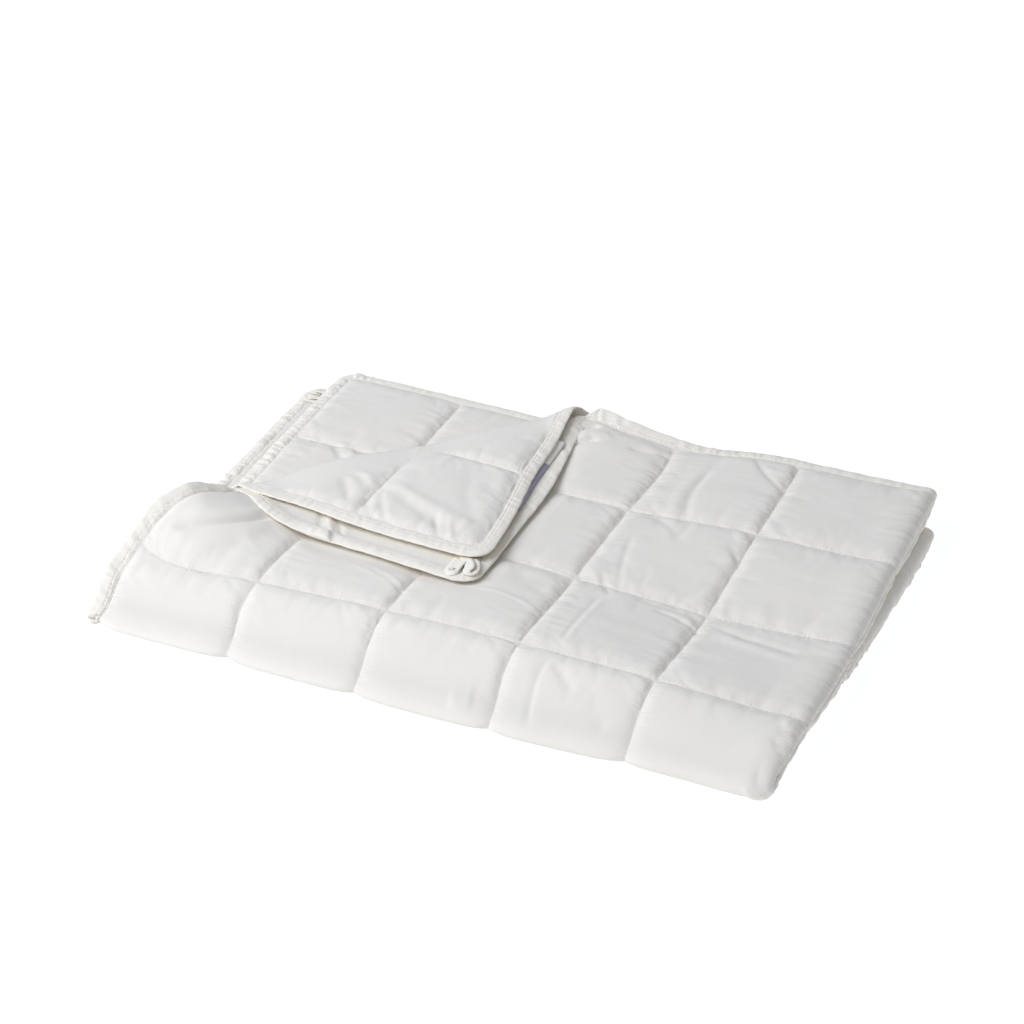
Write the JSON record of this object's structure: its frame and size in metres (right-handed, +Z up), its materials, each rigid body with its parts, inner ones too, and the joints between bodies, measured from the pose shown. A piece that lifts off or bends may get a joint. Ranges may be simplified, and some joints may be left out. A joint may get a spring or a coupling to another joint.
{
  "type": "weighted blanket",
  "caption": "Quilted weighted blanket with square sewn pockets and a bound edge, folded in four, with one upper corner turned back.",
  "frame": {"origin": "on the floor under the middle of the folded blanket's bounding box", "axes": "+Z up; X along the folded blanket's long side, the first fold at +X; -Y towards the second fold, which is the near edge in the picture"},
  "size_m": [0.6286, 0.4704, 0.0639],
  "materials": {
    "cotton_cover": "plain woven cotton, matt",
    "twill_binding": "cotton twill tape, matt",
    "white_label": "plain satin label, soft sheen",
    "grey_label": "blue grey woven label, matt"
  },
  "bodies": {
    "root": {"quilt": "cotton_cover", "binding": "twill_binding", "corner_loop_top": "twill_binding", "corner_loop_low": "twill_binding", "care_label": "white_label", "name_label": "grey_label"}
  },
  "joints": []
}
